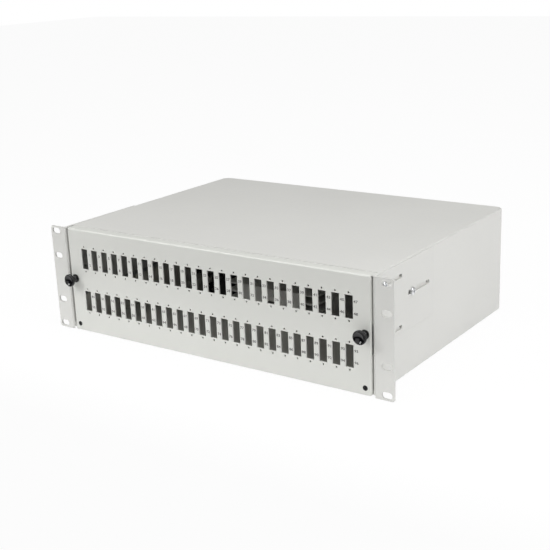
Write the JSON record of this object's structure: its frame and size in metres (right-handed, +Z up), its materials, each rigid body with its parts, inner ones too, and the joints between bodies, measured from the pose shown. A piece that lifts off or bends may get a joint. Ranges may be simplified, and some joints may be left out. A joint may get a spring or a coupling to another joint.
{
  "type": "rack-mount fibre patch panel drawer",
  "caption": "Rack-mount fibre patch panel: a slotted steel drawer front with push latches and splice trays behind it, in a grey sheet-metal case with adjustable ears.",
  "frame": {"origin": "centre of the rack-hole pattern, on the front plane of the ears", "axes": "+X to the right across the front as seen by someone facing it, +Y from the front to the back, +Z up"},
  "size_m": [0.4826, 0.3623, 0.1324],
  "materials": {
    "case_paint": "fine-texture powder coat, warm pale grey",
    "ear_paint": "fine-texture powder coat, warm pale grey",
    "panel_paint": "fine-texture powder coat, warm pale grey",
    "tray_paint": "fine-texture powder coat, warm pale grey",
    "zinc_plate": "bright zinc plate",
    "runner_steel": "zinc-plated strip steel",
    "black_screw": "black oxide",
    "knob_plastic": "glossy black",
    "grommet_plastic": "satin black",
    "glide_nylon": "natural nylon",
    "cassette_plastic": "light grey, satin",
    "comb_plastic": "off-white, satin",
    "lid_plastic": "light grey, satin",
    "spool_plastic": "black, satin",
    "nut_plastic": "black, satin",
    "gland_plastic": "light grey nylon",
    "seal_rubber": "black rubber",
    "stud_brass": "bare brass"
  },
  "bodies": {
    "enclosure": {"case_shell": "case_paint", "base_plate": "case_paint", "ear_screws": "zinc_plate", "ear_nuts": "zinc_plate", "latch_keeper_left": "zinc_plate", "latch_keeper_right": "zinc_plate", "runner_outer_left": "runner_steel", "runner_outer_right": "runner_steel", "glides_case": "glide_nylon", "gland_body_left": "gland_plastic", "gland_body_right": "gland_plastic", "gland_nut_left": "gland_plastic", "gland_nut_right": "gland_plastic", "gland_seal_left": "seal_rubber", "gland_seal_right": "seal_rubber", "gland_locknuts": "gland_plastic", "blanking_plugs": "gland_plastic", "earth_stud": "stud_brass", "earth_nut": "zinc_plate"},
    "ear_left": {"ear_left": "ear_paint"},
    "ear_right": {"ear_right": "ear_paint"},
    "runner_middle_left": {"runner_middle_left": "runner_steel", "glides_middle_left": "glide_nylon"},
    "runner_middle_right": {"runner_middle_right": "runner_steel", "glides_middle_right": "glide_nylon"},
    "drawer": {"front_panel": "panel_paint", "panel_screws": "black_screw", "panel_nuts": "zinc_plate", "drawer_tray": "tray_paint", "runner_inner_left": "runner_steel", "runner_inner_right": "runner_steel", "runner_screws": "zinc_plate", "glides_drawer": "glide_nylon", "latch_grommet_left": "grommet_plastic", "latch_grommet_right": "grommet_plastic", "splice_cassette_1": "cassette_plastic", "splice_cassette_2": "cassette_plastic", "splice_cassette_3": "cassette_plastic", "splice_cassette_4": "cassette_plastic", "splice_comb_1": "comb_plastic", "splice_comb_2": "comb_plastic", "splice_comb_3": "comb_plastic", "splice_comb_4": "comb_plastic", "cassette_lid": "lid_plastic", "cassette_studs": "zinc_plate", "thumb_nuts": "nut_plastic", "fibre_spool_left": "spool_plastic", "fibre_spool_right": "spool_plastic", "cable_anchor_left": "zinc_plate", "cable_anchor_right": "zinc_plate"},
    "latch_left": {"latch_plunger_left": "knob_plastic"},
    "latch_right": {"latch_plunger_right": "knob_plastic"}
  },
  "joints": [
    {"name": "drawer_slide", "type": "slide", "parent": "enclosure", "child": "drawer", "axis": [0, -1, 0], "range_m": [0, 0.28]},
    {"name": "runner_slide_left", "type": "slide", "parent": "enclosure", "child": "runner_middle_left", "axis": [0, -1, 0], "range_m": [0, 0.14]},
    {"name": "runner_slide_right", "type": "slide", "parent": "enclosure", "child": "runner_middle_right", "axis": [0, -1, 0], "range_m": [0, 0.14]},
    {"name": "latch_pull_left", "type": "slide", "parent": "drawer", "child": "latch_left", "axis": [0, -1, 0], "range_m": [0, 0.005]},
    {"name": "latch_pull_right", "type": "slide", "parent": "drawer", "child": "latch_right", "axis": [0, -1, 0], "range_m": [0, 0.005]},
    {"name": "ear_shift_left", "type": "slide", "parent": "enclosure", "child": "ear_left", "axis": [0, -1, 0], "range_m": [-0.007, 0.036]},
    {"name": "ear_shift_right", "type": "slide", "parent": "enclosure", "child": "ear_right", "axis": [0, -1, 0], "range_m": [-0.007, 0.036]}
  ],
  "couplings": [
    {"joint": "runner_slide_left", "follows": "drawer_slide", "ratio": 0.5},
    {"joint": "runner_slide_right", "follows": "drawer_slide", "ratio": 0.5}
  ]
}
